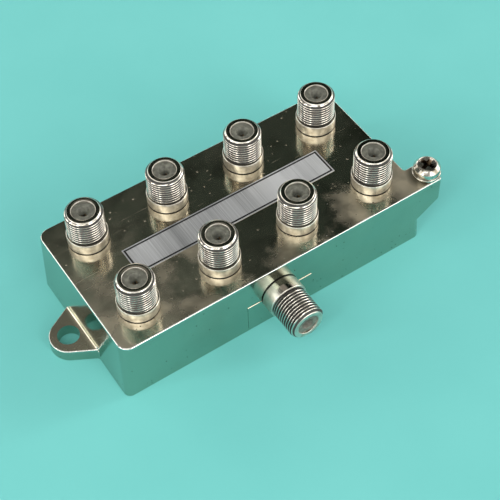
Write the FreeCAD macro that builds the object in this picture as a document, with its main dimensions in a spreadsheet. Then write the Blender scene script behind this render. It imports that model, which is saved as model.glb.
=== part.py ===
import FreeCAD, Part
import math
import os
import re

import Sketcher
from FreeCAD import Placement, Rotation, Vector

# Eight-way coaxial splitter, in millimetres.
# Origin: centre of the housing's base plane. +X runs along the housing towards the ground boss,
# the input port points to -Y, and the eight output ports point up.

sizes = {
    # Die-cast housing
    "case_length": 84.5,
    "case_width": 41.5,
    "case_height": 18.4,
    "side_wall": 1.8,
    "roof": 2.0,
    "corner_round": 2.75,
    "rim_bevel": 0.4,
    "cavity_round": 1.5,
    # Raised patch left on the front wall by the die's slide
    "slide_patch_width": 18.3,
    "slide_patch_low": 0.8,
    "slide_patch_proud": 0.12,
    # Mounting ear on the -X end
    "ear_thick": 3.4,
    "ear_root": 15.6,
    "ear_tip_out": 3.9,
    "ear_tip_radius": 5.3,
    "ear_hole_out": 4.4,
    "ear_hole_radius": 2.75,
    "ear_offset": 0.6,
    "ear_root_round": 1.0,
    "ear_top_round": 0.7,
    "ear_edge_bevel": 0.35,
    # Ground boss on the +X end
    "boss_reach": 6.2,
    "boss_width": 7.5,
    "boss_end_low": 10.8,
    "boss_wall_low": 5.6,
    "boss_toe_round": 1.2,
    "boss_root_round": 0.4,
    "boss_edge_round": 1.0,
    "boss_hole_depth": 7.2,
    # Base cover, seated in a step round the open underside
    "cover_thick": 1.0,
    "cover_step": 0.9,
    "cover_gap": 0.1,
    # Places of the ports
    "column_inset_left": 9.7,
    "column_inset_right": 8.65,
    "row_inset_front": 9.4,
    "row_inset_back": 8.5,
    "input_axis_up": 9.2,
    # Threaded barrels
    "thread_radius": 4.7,
    "collar_radius": 5.05,
    "collar_bevel": 0.25,
    "face_radius": 3.85,
    "face_bevel": 0.6,
    "barrel_bore": 2.85,
    "press_gap": 0.02,
    "output_reach": 10.5,
    "output_collar": 3.0,
    "input_reach": 12.0,
    "input_collar": 3.9,
    # Insulators with a lead-in funnel
    "insulator_recess": 0.4,
    "funnel_radius": 1.6,
    "funnel_floor": 0.75,
    "funnel_depth": 1.5,
    # Fork contacts, stamped from strip
    "contact_width": 0.8,
    "contact_half": 0.55,
    "contact_leaf": 0.25,
    "contact_sunk": 0.1,
    "fork_depth": 5.0,
    "tail_half": 0.3,
    "tail_proud": 0.8,
    "tail_on_board": 5.0,
    # Circuit board, and the lugs of the casting that carry it
    "board_thick": 1.6,
    "board_gap": 0.4,
    "slot_gap": 0.12,
    "lug_length": 4.0,
    "lug_width": 2.4,
    "lug_from_wall": 2.55,
    "tenon_length": 2.0,
    "tenon_width": 1.0,
    "tenon_proud": 0.5,
    # Two-window ferrite cores and their windings
    "core_width": 4.4,
    "core_height": 2.4,
    "core_length": 3.0,
    "window_width": 0.9,
    "window_height": 1.0,
    "window_spacing": 2.0,
    "wire_thick": 0.25,
    "wire_overhang": 0.5,
    "wire_spacing": 0.4,
    # Small parts soldered to the board's underside
    "resistor_length": 1.6,
    "resistor_width": 0.8,
    "resistor_height": 0.5,
    "resistor_from_core": 1.6,
    "capacitor_length": 2.0,
    "capacitor_width": 1.25,
    "capacitor_height": 0.9,
    "capacitor_from_contact": 2.2,
    "choke_length": 3.0,
    "choke_width": 3.0,
    "choke_height": 2.8,
    "choke_from_contact": 3.6,
    "diode_length": 4.0,
    "diode_width": 2.5,
    "diode_height": 2.1,
    "diode_from_contact": 4.2,
    # Ground screw and its washer
    "screw_radius": 1.75,
    "screw_thread_gap": 0.05,
    "screw_length": 6.8,
    "screw_tip_bevel": 0.4,
    "screw_axis_out": 3.9,
    "screw_axis_in": 3.65,
    "screw_head_radius": 3.4,
    "screw_head_height": 2.6,
    "screw_head_rim": 1.3,
    "screw_head_crown": 2.65,
    "recess_span": 4.2,
    "recess_slot": 0.8,
    "recess_depth": 1.3,
    "washer_radius": 3.6,
    "washer_thick": 0.8,
    "washer_gap": 0.2,
    "seat_gap": 0.02,
    # Foil label
    "label_length": 56.0,
    "label_width": 8.2,
    "label_thick": 0.1,
    "label_from_middle": 0.3,
}

column_count = 4
row_count = 2

doc = FreeCAD.newDocument("coaxial_splitter")
sheet = doc.addObject("Spreadsheet::Sheet", "Sizes")
for line, (alias, value) in enumerate(sizes.items(), start=1):
    sheet.set("A%d" % line, alias)
    sheet.set("B%d" % line, str(value))
    sheet.setAlias("B%d" % line, alias)
doc.recompute()

nodes = []


# Formulas are written with bare size names; each name becomes a reference to its cell.
def formula(words):
    return re.sub(r"[a-z]\w*", lambda found: "Sizes." + found.group(), words)


def bind(thing, prop, words):
    thing.setExpression(prop, formula(words))


def keep(thing, label):
    thing.Label = label
    nodes.append(thing)
    return thing


# Lengths that several pieces share
half_length = "case_length / 2"
half_width = "case_width / 2"
board_top = "(input_axis_up - contact_width / 2)"
board_under = "(input_axis_up - contact_width / 2 - board_thick)"
roof_under = "(case_height - roof)"
insulator_top = "(%s - insulator_recess)"
funnel_floor = "(%s - insulator_recess - funnel_depth)"
input_tail_end = "(-side_wall - board_gap - tail_on_board)"
screw_x = "(case_length / 2 + screw_axis_out)"
screw_y = "(screw_axis_in - case_width / 2)"


# The columns share out the length between the end insets; a half number lies between two columns.
def column_x(column):
    run = "(case_length - column_inset_left - column_inset_right)"
    return "(column_inset_left - case_length / 2 + %s * %s)" % (column / (column_count - 1), run)


def row_y(row):
    return ["(row_inset_front - case_width / 2)", "(case_width / 2 - row_inset_back)"][row]


ports = [(column, row) for row in range(row_count) for column in range(column_count)]


# Bodies and sketches
def new_body(label):
    return keep(doc.addObject("PartDesign::Body", label), label)


def add_sketch(body, name, plane, offset=None):
    sketch = body.newObject("Sketcher::SketchObject", body.Name + "_" + name)
    origin_plane = [f for f in body.Origin.OriginFeatures if f.Role == plane][0]
    sketch.AttachmentSupport = [(origin_plane, "")]
    sketch.MapMode = "FlatFace"
    if offset:
        bind(sketch, "AttachmentOffset.Base.z", offset)
    return sketch


# Ties a point of the sketch to its place; None puts it on the axis.
def pin(sketch, shape, point, across, up):
    start = sketch.getPoint(shape, point)
    for kind, axis, now, place in (("DistanceX", -2, start.x, across), ("DistanceY", -1, start.y, up)):
        if place is None:
            sketch.addConstraint(Sketcher.Constraint("PointOnObject", shape, point, axis))
        else:
            index = sketch.addConstraint(Sketcher.Constraint(kind, -1, 1, shape, point, now))
            bind(sketch, "Constraints[%d]" % index, place)


def add_outline(sketch, corners):
    count = len(corners)
    turns = [2 * math.pi * i / count for i in range(count)]
    rough = [Vector(10 + 5 * math.cos(turn), 10 + 5 * math.sin(turn), 0) for turn in turns]
    first = sketch.GeometryCount
    for i in range(count):
        sketch.addGeometry(Part.LineSegment(rough[i], rough[(i + 1) % count]), False)
    for i in range(count):
        following = first + (i + 1) % count
        sketch.addConstraint(Sketcher.Constraint("Coincident", first + i, 2, following, 1))
    for i, (across, up) in enumerate(corners):
        pin(sketch, first + i, 1, across, up)


def add_rectangle(sketch, left, right, low, high):
    add_outline(sketch, [(left, low), (right, low), (right, high), (left, high)])


def add_centred_rectangle(sketch, width, depth):
    add_rectangle(sketch, "-%s / 2" % width, "%s / 2" % width, "-%s / 2" % depth, "%s / 2" % depth)


# Rectangle about a place given by its two formulas
def add_block_plan(sketch, place, length, width):
    across, up = place
    left = "%s - (%s) / 2" % (across, length)
    right = "%s + (%s) / 2" % (across, length)
    add_rectangle(sketch, left, right, "%s - (%s) / 2" % (up, width), "%s + (%s) / 2" % (up, width))


def add_circle(sketch, across, up, radius):
    index = sketch.addGeometry(Part.Circle(Vector(10, 10, 0), Vector(0, 0, 1), 1.0), False)
    pin(sketch, index, 3, across, up)
    size = sketch.addConstraint(Sketcher.Constraint("Radius", index, 1.0))
    bind(sketch, "Constraints[%d]" % size, radius)


def extrude(body, kind, sketch, length, backwards=False):
    feature = body.newObject("PartDesign::" + kind, sketch.Name + "_" + kind.lower())
    feature.Profile = sketch
    feature.Reversed = backwards
    bind(feature, "Length", length)
    sketch.Visibility = False
    return feature


def pad(body, sketch, length, backwards=False):
    return extrude(body, "Pad", sketch, length, backwards)


def pocket(body, sketch, length, backwards=False):
    return extrude(body, "Pocket", sketch, length, backwards)


def revolve(body, sketch):
    feature = body.newObject("PartDesign::Revolution", sketch.Name + "_revolution")
    feature.Profile = sketch
    feature.ReferenceAxis = (sketch, ["V_Axis"])
    feature.Angle = 360.0
    return feature


# Rounds or bevels the edges of the body's last shape that pass the test.
def dress_edges(body, kind, prop, amount, test):
    doc.recompute()
    base = body.Tip
    found = ["Edge%d" % (i + 1) for i, edge in enumerate(base.Shape.Edges) if test(edge)]
    if not found:
        raise ValueError("no edge to dress on " + body.Label)
    feature = body.newObject("PartDesign::" + kind, base.Name + "_" + kind.lower())
    feature.Base = (base, found)
    bind(feature, prop, amount)
    return feature


def round_edges(body, radius, test):
    return dress_edges(body, "Fillet", "Radius", radius, test)


def bevel_edges(body, amount, test):
    return dress_edges(body, "Chamfer", "Size", amount, test)


def near(a, b):
    return abs(a - b) < 1e-4


def is_upright(edge):
    ends = [vertex.Point for vertex in edge.Vertexes]
    return len(ends) == 2 and near(ends[0].x, ends[1].x) and near(ends[0].y, ends[1].y)


# Upright edges at the four corners of a rectangle of these half sizes about the origin
def is_corner(edge, half_x, half_y):
    at_corner = [near(abs(v.X), half_x) and near(abs(v.Y), half_y) for v in edge.Vertexes]
    return is_upright(edge) and all(at_corner)


def lies_at_height(edge, height):
    return all(near(vertex.Z, height) for vertex in edge.Vertexes)


# Housing: a zinc casting with the ear, the ground boss and the board's posts in one piece
def make_housing():
    size = sizes
    end_x = size["case_length"] / 2
    front_y = -size["case_width"] / 2
    body = new_body("housing")

    plan = add_sketch(body, "plan", "XY_Plane")
    add_centred_rectangle(plan, "case_length", "case_width")
    pad(body, plan, "case_height")
    round_edges(body, "corner_round", is_upright)

    boss = add_sketch(body, "boss", "XZ_Plane", half_width)
    add_outline(boss, [
        ("%s - corner_round" % half_length, "case_height"),
        ("%s + boss_reach" % half_length, "case_height"),
        ("%s + boss_reach" % half_length, "boss_end_low"),
        (half_length, "boss_wall_low"),
        ("%s - corner_round" % half_length, "boss_wall_low"),
    ])
    pad(body, boss, "boss_width", backwards=True)
    boss_end = end_x + size["boss_reach"]
    boss_back = front_y + size["boss_width"]

    def is_toe(edge):
        return all(near(v.X, boss_end) and near(v.Z, size["boss_end_low"]) for v in edge.Vertexes)

    def is_boss_root(edge):
        at_root = [near(v.X, end_x) and near(v.Y, boss_back) for v in edge.Vertexes]
        return is_upright(edge) and all(at_root)

    def is_free_edge(edge):
        return is_upright(edge) and all(near(v.X, boss_end) and near(v.Y, front_y) for v in edge.Vertexes)

    round_edges(body, "boss_toe_round", is_toe)
    round_edges(body, "boss_root_round", is_boss_root)
    round_edges(body, "boss_edge_round", is_free_edge)
    bevel_edges(body, "rim_bevel", lambda edge: lies_at_height(edge, size["case_height"]))

    add_ear(body)

    patch = add_sketch(body, "slide_patch", "XZ_Plane", half_width)
    patch_half = "slide_patch_width / 2"
    add_rectangle(patch, "-" + patch_half, patch_half, "slide_patch_low", "input_axis_up")
    pad(body, patch, "slide_patch_proud")

    cavity = add_sketch(body, "cavity", "XY_Plane")
    add_centred_rectangle(cavity, "(case_length - 2 * side_wall)", "(case_width - 2 * side_wall)")
    pocket(body, cavity, "case_height - roof", backwards=True)
    inside_x = end_x - size["side_wall"]
    inside_y = -front_y - size["side_wall"]

    round_edges(body, "cavity_round", lambda edge: is_corner(edge, inside_x, inside_y))

    step = add_sketch(body, "cover_step", "XY_Plane")
    add_centred_rectangle(
        step,
        "(case_length - 2 * side_wall + 2 * cover_step)",
        "(case_width - 2 * side_wall + 2 * cover_step)",
    )
    pocket(body, step, "cover_thick", backwards=True)
    step_x = inside_x + size["cover_step"]
    step_y = inside_y + size["cover_step"]
    step_round = "corner_round - side_wall + cover_step"
    round_edges(body, step_round, lambda edge: is_corner(edge, step_x, step_y))

    lugs = add_sketch(body, "lugs", "XY_Plane", board_top)
    tenons = add_sketch(body, "tenons", "XY_Plane", board_top)
    for place in lug_places():
        add_block_plan(lugs, place, "lug_length", "lug_width")
        add_block_plan(tenons, place, "tenon_length", "tenon_width")
    pad(body, lugs, "%s - %s + roof / 2" % (roof_under, board_top))
    pad(body, tenons, "board_thick + tenon_proud", backwards=True)

    outputs = add_sketch(body, "output_holes", "XY_Plane", "case_height")
    for column, row in ports:
        add_circle(outputs, column_x(column), row_y(row), "collar_radius + press_gap")
    pocket(body, outputs, "roof")

    feed = add_sketch(body, "input_hole", "XZ_Plane", half_width + " + slide_patch_proud")
    add_circle(feed, None, "input_axis_up", "collar_radius + press_gap")
    pocket(body, feed, "side_wall + slide_patch_proud")

    tapped = add_sketch(body, "ground_hole", "XY_Plane", "case_height")
    add_circle(tapped, screw_x, screw_y, "screw_radius + screw_thread_gap")
    pocket(body, tapped, "boss_hole_depth")
    return body


# The ear is a teardrop: a round tip, straight sides tangent to it, and a hole for a fixing screw.
def add_ear(body):
    size = sizes
    wall_x = -size["case_length"] / 2
    hub = Vector(wall_x - size["ear_tip_out"], size["ear_offset"], 0)
    root = Vector(wall_x, size["ear_offset"] + size["ear_root"] / 2, 0) - hub
    tip = size["ear_tip_radius"]
    touch = math.atan2(root.y, root.x) + math.acos(tip / root.Length)
    upper = hub + Vector(math.cos(touch), math.sin(touch), 0) * tip
    lower = hub + Vector(math.cos(touch), -math.sin(touch), 0) * tip
    upper_root = hub + root
    lower_root = hub + Vector(root.x, -root.y, 0)
    inward = Vector(size["side_wall"], 0, 0)

    sketch = add_sketch(body, "ear", "XY_Plane")
    circle = Part.Circle(hub, Vector(0, 0, 1), tip)
    sketch.addGeometry(Part.ArcOfCircle(circle, touch, 2 * math.pi - touch), False)
    route = [lower, lower_root, lower_root + inward, upper_root + inward, upper_root, upper]
    for start, end in zip(route, route[1:]):
        sketch.addGeometry(Part.LineSegment(start, end), False)
    pin(sketch, 0, 3, "-%s - ear_tip_out" % half_length, "ear_offset")
    radius = sketch.addConstraint(Sketcher.Constraint("Radius", 0, tip))
    bind(sketch, "Constraints[%d]" % radius, "ear_tip_radius")
    for line in range(1, 5):
        sketch.addConstraint(Sketcher.Constraint("Coincident", line, 2, line + 1, 1))
    low_side = "ear_offset - ear_root / 2"
    high_side = "ear_offset + ear_root / 2"
    pin(sketch, 2, 1, "-" + half_length, low_side)
    pin(sketch, 3, 1, "side_wall - %s" % half_length, low_side)
    pin(sketch, 4, 1, "side_wall - %s" % half_length, high_side)
    pin(sketch, 5, 1, "-" + half_length, high_side)
    sketch.addConstraint(Sketcher.Constraint("Tangent", 0, 2, 1, 1))
    sketch.addConstraint(Sketcher.Constraint("Tangent", 0, 1, 5, 2))
    pad(body, sketch, "ear_thick")

    def is_ear_root(edge):
        at_wall = all(near(v.X, wall_x) and v.Z < size["ear_thick"] + 1e-4 for v in edge.Vertexes)
        return is_upright(edge) and at_wall

    def is_ear_rim(edge):
        outside = edge.CenterOfMass.x < wall_x - 1e-4
        return outside and lies_at_height(edge, size["ear_thick"])

    def is_ear_top_root(edge):
        return lies_at_height(edge, size["ear_thick"]) and near(edge.CenterOfMass.x, wall_x)

    bevel_edges(body, "ear_edge_bevel", is_ear_rim)
    round_edges(body, "ear_root_round", is_ear_root)
    round_edges(body, "ear_top_round", is_ear_top_root)

    hole = add_sketch(body, "ear_hole", "XY_Plane")
    add_circle(hole, "-%s - ear_hole_out" % half_length, "ear_offset", "ear_hole_radius")
    pocket(body, hole, "ear_thick", backwards=True)


# One lug stands between each outer pair of columns, near the front and near the back wall.
def lug_places():
    from_middle = "(case_width / 2 - side_wall - lug_from_wall)"
    between = [column_x(0.5), column_x(column_count - 1.5)]
    return [(across, side + from_middle) for across in between for side in ("-", "+")]


def make_base_cover():
    body = new_body("base_cover")
    plan = add_sketch(body, "plan", "XY_Plane")
    spare = "- 2 * side_wall + 2 * cover_step - 2 * cover_gap)"
    add_centred_rectangle(plan, "(case_length " + spare, "(case_width " + spare)
    pad(body, plan, "cover_thick")
    round_edges(body, "corner_round - side_wall + cover_step - cover_gap", is_upright)


# Ports: local Z runs out of the wall that carries the barrel, and zero is that wall's outer face.
def place_port(thing, port):
    if port == "in":
        thing.Placement = Placement(Vector(0, 0, 0), Rotation(Vector(1, 0, 0), 90))
        bind(thing, "Placement.Base.y", "-" + half_width)
        bind(thing, "Placement.Base.z", "input_axis_up")
    else:
        bind(thing, "Placement.Base.x", column_x(port[0]))
        bind(thing, "Placement.Base.y", row_y(port[1]))
        bind(thing, "Placement.Base.z", "case_height")


def turned_body(label, corners, port):
    body = new_body(label)
    profile = add_sketch(body, "profile", "XZ_Plane")
    add_outline(profile, corners)
    revolve(body, profile)
    place_port(body, port)
    return body


def make_port(label, port, reach, collar, wall, tail_end):
    inner_face = "-" + wall
    turned_body(label + "_port", [
        ("barrel_bore", inner_face),
        ("collar_radius", inner_face),
        ("collar_radius", collar + " - collar_bevel"),
        ("thread_radius", collar),
        ("thread_radius", reach + " - face_bevel"),
        ("face_radius", reach),
        ("barrel_bore", reach),
    ], port)

    top = insulator_top % reach
    floor = funnel_floor % reach
    insulator = turned_body(label + "_insulator", [
        (None, inner_face),
        ("barrel_bore - press_gap", inner_face),
        ("barrel_bore - press_gap", top),
        ("funnel_radius", top),
        ("funnel_floor", floor),
        (None, floor),
    ], port)
    slot = add_sketch(insulator, "slot", "XY_Plane", floor)
    add_centred_rectangle(slot, "(2 * contact_half + 2 * press_gap)", "(contact_width + 2 * press_gap)")
    pocket(insulator, slot, "%s + %s" % (floor, wall))

    make_contact(label + "_contact", port, floor, inner_face, tail_end)


# Fork contact: two leaves grip the cable's centre wire, and a narrower tail runs to the board.
def make_contact(label, port, floor, inner_face, tail_end):
    body = new_body(label)
    strip = add_sketch(body, "strip", "XZ_Plane", "contact_width / 2")
    mouth = floor + " - contact_sunk"
    fork_end = mouth + " - fork_depth"
    gap_half = "(contact_half - contact_leaf)"
    right_half = [
        ("tail_half", tail_end),
        ("tail_half", inner_face),
        ("contact_half", inner_face),
        ("contact_half", mouth),
        (gap_half, mouth),
        (gap_half, fork_end),
    ]
    left_half = [(flip(across), up) for across, up in reversed(right_half)]
    add_outline(strip, right_half + left_half)
    pad(body, strip, "contact_width", backwards=True)
    place_port(body, port)


def flip(words):
    return words[1:] if words.startswith("-") else "-" + words


def make_ports():
    for number, port in enumerate(ports, start=1):
        tail_end = "%s - tail_proud - case_height" % board_under
        make_port("output_%d" % number, port, "output_reach", "output_collar", "roof", tail_end)
    make_port("input", "in", "input_reach", "input_collar", "side_wall", input_tail_end)


def make_board():
    body = new_body("circuit_board")
    plan = add_sketch(body, "plan", "XY_Plane", board_under)
    length = "(case_length - 2 * side_wall - 2 * board_gap)"
    width = "(case_width - 2 * side_wall - 2 * board_gap)"
    add_centred_rectangle(plan, length, width)
    pad(body, plan, "board_thick")
    round_edges(body, "cavity_round - board_gap", is_upright)
    slots = add_sketch(body, "slots", "XY_Plane", board_top)
    for column, row in ports:
        place = (column_x(column), row_y(row))
        add_block_plan(slots, place, "2 * tail_half + 2 * slot_gap", "contact_width + 2 * slot_gap")
    for place in lug_places():
        add_block_plan(slots, place, "tenon_length + 2 * slot_gap", "tenon_width + 2 * slot_gap")
    pocket(body, slots, "board_thick")


# The seven two-way stages stand in a row along the middle, on the board's underside:
# one under each column of ports, and one half way between neighbouring columns.
rows_middle = "((row_inset_front - row_inset_back) / 2)"
stage_columns = [step / 2 for step in range(2 * column_count - 1)]


def make_core(number, column):
    body = new_body("ferrite_core_%d" % number)
    block = add_sketch(body, "block", "XZ_Plane", "core_length / 2")
    add_rectangle(block, "-core_width / 2", "core_width / 2", "-core_height", None)
    pad(body, block, "core_length", backwards=True)
    windows = add_sketch(body, "windows", "XZ_Plane", "core_length / 2")
    for side in ("-", "+"):
        place = (side + "window_spacing / 2", "-core_height / 2")
        add_block_plan(windows, place, "window_width", "window_height")
    pocket(body, windows, "core_length")
    bind(body, "Placement.Base.x", column_x(column))
    bind(body, "Placement.Base.y", rows_middle)
    bind(body, "Placement.Base.z", board_under)


# Two hairpins share the core's windows, one entering from each face.
# Each leaves the board, goes in at one window, crosses behind the core and comes back by the other.
def make_winding(number, column):
    size = sizes
    window_x = size["window_spacing"] / 2
    middle_z = -size["core_height"] / 2
    half_wire = size["wire_thick"] / 2
    half_step = size["wire_spacing"] / 2
    face_y = size["core_length"] / 2 + size["wire_overhang"]
    hairpins = []
    for side in (-1, 1):
        wire_z = middle_z + side * half_step
        lead_y = side * (face_y + half_step)
        far_y = -side * (face_y - half_step)
        points = [
            Vector(-window_x, lead_y, 0),
            Vector(-window_x, lead_y, wire_z),
            Vector(-window_x, far_y, wire_z),
            Vector(window_x, far_y, wire_z),
            Vector(window_x, lead_y, wire_z),
            Vector(window_x, lead_y, 0),
        ]
        corners = [(-1, -1), (1, -1), (1, 1), (-1, 1), (-1, -1)]
        section = [points[0] + Vector(across * half_wire, along * half_wire, 0) for across, along in corners]
        sweep = Part.BRepOffsetAPI.MakePipeShell(Part.makePolygon(points))
        sweep.setTransitionMode(1)
        sweep.add(Part.makePolygon(section))
        sweep.build()
        sweep.makeSolid()
        hairpins.append(sweep.shape())
    winding = doc.addObject("Part::Feature", "winding_%d" % number)
    winding.Shape = Part.makeCompound(hairpins)
    bind(winding, "Placement.Base.x", column_x(column))
    bind(winding, "Placement.Base.y", rows_middle)
    bind(winding, "Placement.Base.z", board_under)
    keep(winding, "winding_%d" % number)


# A group of like blocks soldered to the board's underside, centred on the given places
def make_blocks(label, kind, places):
    blocks = []
    for number, (across, up) in enumerate(places, start=1):
        block = doc.addObject("Part::Box", "%s_%d" % (kind, number))
        bind(block, "Length", kind + "_length")
        bind(block, "Width", kind + "_width")
        bind(block, "Height", kind + "_height")
        bind(block, "Placement.Base.x", "%s - %s_length / 2" % (across, kind))
        bind(block, "Placement.Base.y", "%s - %s_width / 2" % (up, kind))
        bind(block, "Placement.Base.z", "%s - %s_height" % (board_under, kind))
        blocks.append(block)
    group = doc.addObject("Part::Compound", label)
    group.Links = blocks
    keep(group, label)


# Places stepped from the output contacts towards the board's middle
def inward_of_contacts(step):
    signs = ["+", "-"]
    return [(column_x(column), "(%s %s %s)" % (row_y(row), signs[row], step)) for column, row in ports]


# Places stepped from the output contacts along the board
def along_from_contacts(step):
    return [("(%s + %s)" % (column_x(column), step), row_y(row)) for column, row in ports]


def make_small_parts():
    behind_core = "(%s + core_length / 2 + wire_overhang + wire_spacing + resistor_from_core)" % rows_middle
    make_blocks("chip_resistors", "resistor", [(column_x(column), behind_core) for column in stage_columns])
    input_place = ("capacitor_length", "(-case_width / 2 - %s)" % input_tail_end)
    make_blocks("chip_capacitors", "capacitor", inward_of_contacts("capacitor_from_contact") + [input_place])
    make_blocks("steering_diodes", "diode", along_from_contacts("diode_from_contact"))
    make_blocks("dc_chokes", "choke", along_from_contacts("-choke_from_contact"))


def place_on_boss(body, height):
    bind(body, "Placement.Base.x", screw_x)
    bind(body, "Placement.Base.y", screw_y)
    bind(body, "Placement.Base.z", height)


def make_ground_washer():
    body = new_body("ground_washer")
    ring = add_sketch(body, "ring", "XY_Plane")
    add_circle(ring, None, None, "washer_radius")
    add_circle(ring, None, None, "screw_radius + washer_gap")
    pad(body, ring, "washer_thick")
    place_on_boss(body, "case_height + seat_gap")


# Pan-head screw; local zero is the underside of its head.
def make_ground_screw():
    body = new_body("ground_screw")
    profile = add_sketch(body, "profile", "XZ_Plane")
    add_outline(profile, [
        (None, "-screw_length"),
        ("screw_radius - screw_tip_bevel", "-screw_length"),
        ("screw_radius", "screw_tip_bevel - screw_length"),
        ("screw_radius", None),
        ("screw_head_radius", None),
        ("screw_head_radius", "screw_head_rim"),
        ("screw_head_crown", "screw_head_height"),
        (None, "screw_head_height"),
    ])
    revolve(body, profile)

    recess = add_sketch(body, "recess", "XY_Plane", "screw_head_height")
    arm = "recess_span / 2"
    slot = "recess_slot / 2"
    half_cross = [
        (arm, flip(slot)), (arm, slot), (slot, slot),
        (slot, arm), (flip(slot), arm), (flip(slot), slot),
    ]
    mirrored = [(flip(across), flip(up)) for across, up in half_cross]
    add_outline(recess, half_cross + mirrored)
    pocket(body, recess, "recess_depth")
    place_on_boss(body, "case_height + washer_thick + 2 * seat_gap")


def make_label():
    body = new_body("label")
    plan = add_sketch(body, "plan", "XY_Plane")
    add_centred_rectangle(plan, "label_length", "label_width")
    pad(body, plan, "label_thick")
    bind(body, "Placement.Base.y", "label_from_middle")
    bind(body, "Placement.Base.z", "case_height")


# Stops before anything is written if a feature failed, a pocket cut nothing or a shape is unsound.
def check_document():
    for thing in doc.Objects:
        if "Invalid" in thing.State or "Error" in thing.State:
            raise RuntimeError("%s failed: %s" % (thing.Label, thing.State))
        if thing.TypeId == "PartDesign::Pocket":
            if thing.Shape.Volume > thing.BaseFeature.Shape.Volume - 1e-6:
                raise RuntimeError(thing.Label + " cuts nothing")
    for node in nodes:
        if node.Shape.isNull() or not node.Shape.isValid() or not node.Shape.Solids:
            raise RuntimeError(node.Label + " has no sound solid")


make_housing()
make_base_cover()
make_ports()
make_board()
for number, column in enumerate(stage_columns, start=1):
    make_core(number, column)
    make_winding(number, column)
make_small_parts()
make_label()
make_ground_washer()
make_ground_screw()
doc.recompute()
check_document()

os.makedirs("parts", exist_ok=True)
for node in nodes:
    node.Shape.exportStep("parts/%s.step" % node.Label)
    box = node.Shape.BoundBox
    print("%-22s %2d solid(s) %9.2f mm3" % (node.Label, len(node.Shape.Solids), node.Shape.Volume), box)
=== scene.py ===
import math

import bmesh
import bpy
from mathutils import Matrix, Vector


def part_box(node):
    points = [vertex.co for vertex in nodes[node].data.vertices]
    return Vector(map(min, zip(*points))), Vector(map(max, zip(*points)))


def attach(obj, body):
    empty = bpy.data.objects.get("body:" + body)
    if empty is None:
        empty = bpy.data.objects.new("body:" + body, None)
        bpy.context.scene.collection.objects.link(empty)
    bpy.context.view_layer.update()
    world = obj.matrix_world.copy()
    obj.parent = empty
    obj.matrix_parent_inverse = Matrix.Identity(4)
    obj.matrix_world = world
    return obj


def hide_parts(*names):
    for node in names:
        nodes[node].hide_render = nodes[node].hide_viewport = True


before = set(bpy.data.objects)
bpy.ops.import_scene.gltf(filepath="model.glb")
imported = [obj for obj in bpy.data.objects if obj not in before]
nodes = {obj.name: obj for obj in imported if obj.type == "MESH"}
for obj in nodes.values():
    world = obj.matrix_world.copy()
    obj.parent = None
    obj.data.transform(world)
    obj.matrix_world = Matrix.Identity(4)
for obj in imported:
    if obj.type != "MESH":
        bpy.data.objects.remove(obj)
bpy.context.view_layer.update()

mm = 0.001
roof = 18.4                  # mm, the housing's top face
halfHousing = (42.25, 20.75)
screwAxis = (46.15, -17.1)
print("frame loaded:", len(nodes), "nodes")


def metres(sizes):
    return [size * mm for size in sizes]


# a pattern's scale from its size in mm
def scaleFor(size):
    return 1000 / size


# colours are written as sRGB hex, Blender wants them linear
def linear(hexColour):
    steps = [int(hexColour[i:i + 2], 16) / 255 for i in (1, 3, 5)]
    return [c / 12.92 if c <= 0.04045 else ((c + 0.055) / 1.055) ** 2.4 for c in steps] + [1.0]


# sockets are named, or listed in the node's own order; a value is set, a socket is linked, and a node is linked
# by the output that it has switched on
def addNode(tree, kind, sockets=(), **settings):
    node = tree.nodes.new(kind)
    for name, value in settings.items():
        setattr(node, name, value)
    for key, value in (sockets.items() if isinstance(sockets, dict) else enumerate(sockets)):
        if isinstance(value, bpy.types.Node):
            value = next(output for output in value.outputs if output.enabled)
        if isinstance(value, bpy.types.NodeSocket):
            tree.links.new(value, node.inputs[key])
        else:
            node.inputs[key].default_value = value
    return node


def startMaterial(name):
    material = bpy.data.materials.new(name)
    material.use_nodes = True
    tree = material.node_tree
    tree.nodes.clear()
    return material, tree, addNode(tree, "ShaderNodeTexCoord").outputs["Object"]


def endMaterial(material, sockets):
    shader = addNode(material.node_tree, "ShaderNodeBsdfPrincipled", sockets)
    addNode(material.node_tree, "ShaderNodeOutputMaterial", {"Surface": shader})
    return material


# how far a face looks up, from -1 to 1
def lookUp(tree):
    normal = addNode(tree, "ShaderNodeNewGeometry").outputs["Normal"]
    return addNode(tree, "ShaderNodeSeparateXYZ", [normal]).outputs["Z"]


# dots strewn over a surface, one in each cell whose own random number is high
def strewn(tree, place, size, channel, lucky, rim):
    cells = addNode(tree, "ShaderNodeTexVoronoi", {"Vector": place, "Scale": scaleFor(size), "Randomness": 1.0})
    luck = addNode(tree, "ShaderNodeSeparateColor", [cells.outputs["Color"]]).outputs[channel]
    picked = addNode(tree, "ShaderNodeMapRange", [luck, *lucky])
    near = addNode(tree, "ShaderNodeMapRange", [cells.outputs["Distance"], *rim, 1.0, 0.0])
    return addNode(tree, "ShaderNodeMath", [picked, near], operation="MULTIPLY")


# materials: sizes and places in mm; a pair of numbers is where something starts and where it is complete

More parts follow.
